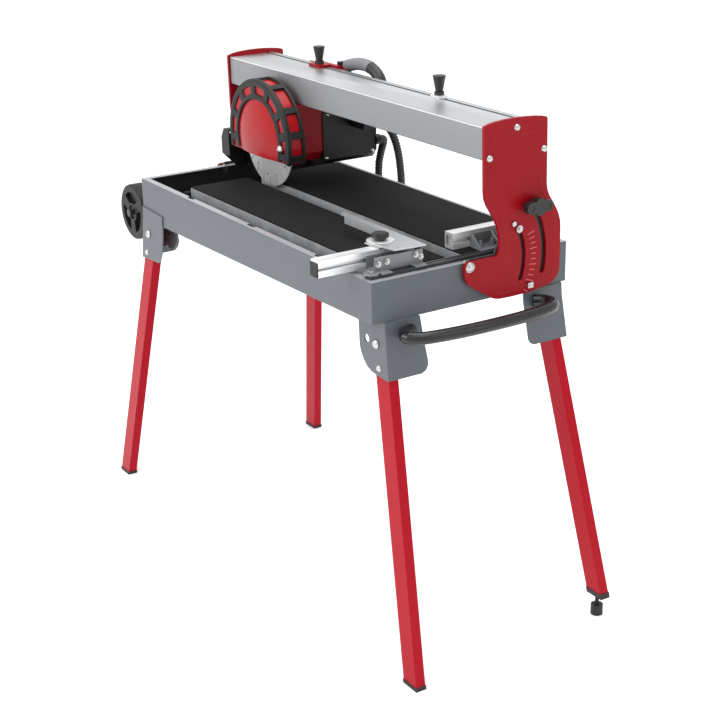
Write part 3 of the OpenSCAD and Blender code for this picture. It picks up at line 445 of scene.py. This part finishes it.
for tag, x0, sgn in (("near", 930.5, 1), ("far", -10.5, -1)):
    # a low rounded roll, drawn as five strips across its width
    prof = [(-2.2, -0.25), (-1.2, 0.45), (0, 0.75), (1.2, 0.45), (2.2, -0.25)]
    n = len(EMBS)
    v, f = [], []
    rings = [offset_poly(EMBS, -o_) for o_, _ in prof]
    for r_, (o_, h) in zip(rings, prof):
        v += [P(x0 + sgn * h, a, b) for a, b in r_]
    for q in range(len(prof)):
        q2 = (q + 1) % len(prof)
        for i in range(n):
            j = (i + 1) % n
            f.append((q * n + i, q * n + j, q2 * n + j, q2 * n + i))
    add("plate_roll_" + tag, v, f, "bridge", "red_plate", 80)
    for k in range(12):
        a = math.radians(17 - k * 4.1)
        r0, r1 = (132, 148) if k % 3 == 0 else (135, 146)
        c_, s_ = math.cos(a), math.sin(a)
        w = 0.7
        pts = [(201 + r0 * c_ + w * s_, -7 + r0 * s_ - w * c_), (201 + r1 * c_ + w * s_, -7 + r1 * s_ - w * c_),
               (201 + r1 * c_ - w * s_, -7 + r1 * s_ + w * c_), (201 + r0 * c_ - w * s_, -7 + r0 * s_ + w * c_)]
        prism(f"tilt_mark_{tag}_{k}", pts, "yz", x0 - sgn * 0.1, x0 + sgn * 0.35, "bridge", "red_line")

# ---------------------------------------------------------------- blade guard: bulged face and rubber cage
BX, BY, BZ = 217, 201, 98
def polar_face(name, rmax, zmin, yfun, yback, body, mat, nth=96, nr=18):
    v, f = [], []
    def lim(a):
        s_ = math.sin(a)
        return min(rmax, (zmin - BZ) / s_) if s_ < -1e-6 else rmax
    for i in range(nr + 1):
        t = i / nr
        for j in range(nth):
            a = 2 * math.pi * j / nth
            r_ = lim(a) * t
            v.append(P(BX + r_ * math.cos(a), yfun(r_, rmax), BZ + r_ * math.sin(a)))
    nb = len(v)
    for j in range(nth):
        a = 2 * math.pi * j / nth
        r_ = lim(a)
        v.append(P(BX + r_ * math.cos(a), yback, BZ + r_ * math.sin(a)))
    for i in range(nr):
        for j in range(nth):
            k = (j + 1) % nth
            f.append((i * nth + j, i * nth + k, (i + 1) * nth + k, (i + 1) * nth + j))
    for j in range(nth):
        k = (j + 1) % nth
        f.append((nr * nth + j, nr * nth + k, nb + k, nb + j))
    f.append(tuple(nb + j for j in range(nth)))
    o = add(name, v, f, body, mat, 50)
    bm = bmesh.new(); bm.from_mesh(o.data)
    bmesh.ops.remove_doubles(bm, verts=bm.verts, dist=1e-6)
    bmesh.ops.recalc_face_normals(bm, faces=bm.faces)
    bm.to_mesh(o.data); bm.free()
    o.data.set_sharp_from_angle(angle=math.radians(50))
    return o
polar_face("guard_face", 87, 67.5, lambda r_, R: 167.2 + 9.5 * (r_ / R) ** 2.4, 177.4, "saw_head", "guard_red")

def cage():
    vs, fs = [], []
    def put(verts, faces):
        o_ = len(vs)
        vs.extend(verts)
        fs.extend([tuple(i + o_ for i in f_) for f_ in faces])
    def arcband(prof, a0, a1, n):
        v, f, m_ = [], [], len(prof)
        for i in range(n + 1):
            a = math.radians(a0 + (a1 - a0) * i / n)
            for r_, h in prof:
                v.append(P(BX + r_ * math.cos(a), h, BZ + r_ * math.sin(a)))
        for i in range(n):
            for q in range(m_):
                q2 = (q + 1) % m_
                f.append((i * m_ + q, (i + 1) * m_ + q, (i + 1) * m_ + q2, i * m_ + q2))
        f.append(tuple(range(m_)))
        f.append(tuple(n * m_ + q for q in reversed(range(m_))))
        put(v, f)
    arcband([(85, 177), (85.5, 174.2), (87.5, 172.6), (94, 172.8), (96.5, 174.6), (97, 177)], -18, 198, 72)
    arcband([(112, 177.2), (112.6, 175), (114.5, 174), (123.5, 174), (126.6, 175.4), (127.6, 178), (127.6, 181.5), (126.8, 183.4), (122, 183.8), (121.8, 177.2)], -15, 195, 84)
    arcband([(122, 209), (126.8, 209.4), (127.6, 211), (127.6, 215), (126, 216.4), (113, 216.4), (112, 214), (122, 214)], -15, 195, 84)
    for a in STRAPS:
        w = 8.2
        for (r0, r1, h0, h1) in ((93, 115, 173.6, 177.2), (121.6, 127.4, 180, 212)):
            v, f, n = [], [], 6
            for i in range(n + 1):
                t = i / n
                for (s_, d) in ((-1, 0), (-0.82, 1), (0.82, 1), (1, 0)):
                    if r0 < 100:   # spoke on the front face
                        r_ = r0 + (r1 - r0) * t
                        ww = w * (1.0 + 0.25 * (1 - t))
                        y_ = h1 if d == 0 else h0
                    else:          # strap across the rim
                        ww = w
                        r_ = r0 if d == 0 else r1
                        y_ = h0 + (h1 - h0) * t
                    ar = math.radians(a) + s_ * ww / (r0 + r1) * 2
                    v.append(P(BX + r_ * math.cos(ar), y_, BZ + r_ * math.sin(ar)))
            for i in range(n):
                for q in range(4):
                    q2 = (q + 1) % 4
                    f.append((i * 4 + q, (i + 1) * 4 + q, (i + 1) * 4 + q2, i * 4 + q2))
            f.append((0, 1, 2, 3))
            f.append((n * 4 + 3, n * 4 + 2, n * 4 + 1, n * 4))
            put(v, f)
    return vs, fs
STRAPS = [-10, 13, 37, 67, 97, 127, 157, 185]
vs, fs = cage()
cg = add("guard_rubber_cage", vs, fs, "saw_head", "bumper", 40)
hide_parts("guard_bumper")


# ---------------------------------------------------------------- stage and light
def plane(name, size, z, mat):
    me = bpy.data.meshes.new(name)
    s = size
    me.from_pydata([(-s, -s, z), (s, -s, z), (s, s, z), (-s, s, z)], [], [(0, 1, 2, 3)])
    o = bpy.data.objects.new(name, me)
    bpy.context.scene.collection.objects.link(o)
    me.materials.append(mat)
    return o
material("stage_floor", (0.95, 0.95, 0.95), 0.95, spec=0.0, vary=0.0, vary_scale=1)
for node_ in MATS["stage_floor"].node_tree.nodes:
    if node_.type == "BSDF_PRINCIPLED":
        node_.inputs["Emission Color"].default_value = (1, 1, 1, 1)
        node_.inputs["Emission Strength"].default_value = 0.16
floor = plane("stage_floor", 30, -0.0005, MATS["stage_floor"])
world = bpy.data.worlds.new("studio")
bpy.context.scene.world = world
world.use_nodes = True
world.node_tree.nodes["Background"].inputs[0].default_value = (1, 1, 1, 1)
world.node_tree.nodes["Background"].inputs[1].default_value = 1.0

def area(name, loc, target, size, power, color=(1, 1, 1)):
    l = bpy.data.lights.new(name, "AREA")
    l.shape = "RECTANGLE"
    l.size, l.size_y = size
    l.energy = power
    l.color = color
    o = bpy.data.objects.new(name, l)
    bpy.context.scene.collection.objects.link(o)
    o.location = loc
    o.rotation_euler = (Vector(target) - Vector(loc)).to_track_quat("-Z", "Y").to_euler()
    return o
area("key", (-0.6, -3.2, 2.6), (0, 0, 0.7), (2.6, 2.0), 70)
area("top", (0.2, 0.3, 3.6), (0, 0, 0.6), (3.2, 2.4), 70)
area("right_fill", (3.4, 1.2, 1.8), (0.2, 0, 0.7), (1.6, 1.6), 8)
